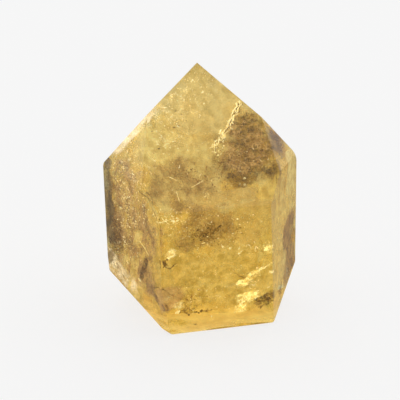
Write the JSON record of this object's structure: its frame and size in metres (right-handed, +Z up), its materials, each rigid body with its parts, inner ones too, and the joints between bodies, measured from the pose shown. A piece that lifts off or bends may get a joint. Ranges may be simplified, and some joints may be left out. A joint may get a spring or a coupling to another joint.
{
  "type": "citrine crystal point",
  "caption": "Cut and polished point of honey-yellow citrine quartz with smoky veils inside, standing on a flat sawn foot.",
  "frame": {"origin": "on the sawn foot that the stone stands on, straight under the middle of the stone", "axes": "+Z up towards the point, -Y towards the front with its largest face, +X to the stone's right as seen from the front"},
  "size_m": [0.0493, 0.0418, 0.0625],
  "materials": {
    "citrine": "polished clear stone with veils"
  },
  "bodies": {
    "root": {"crystal": "citrine"}
  },
  "joints": []
}
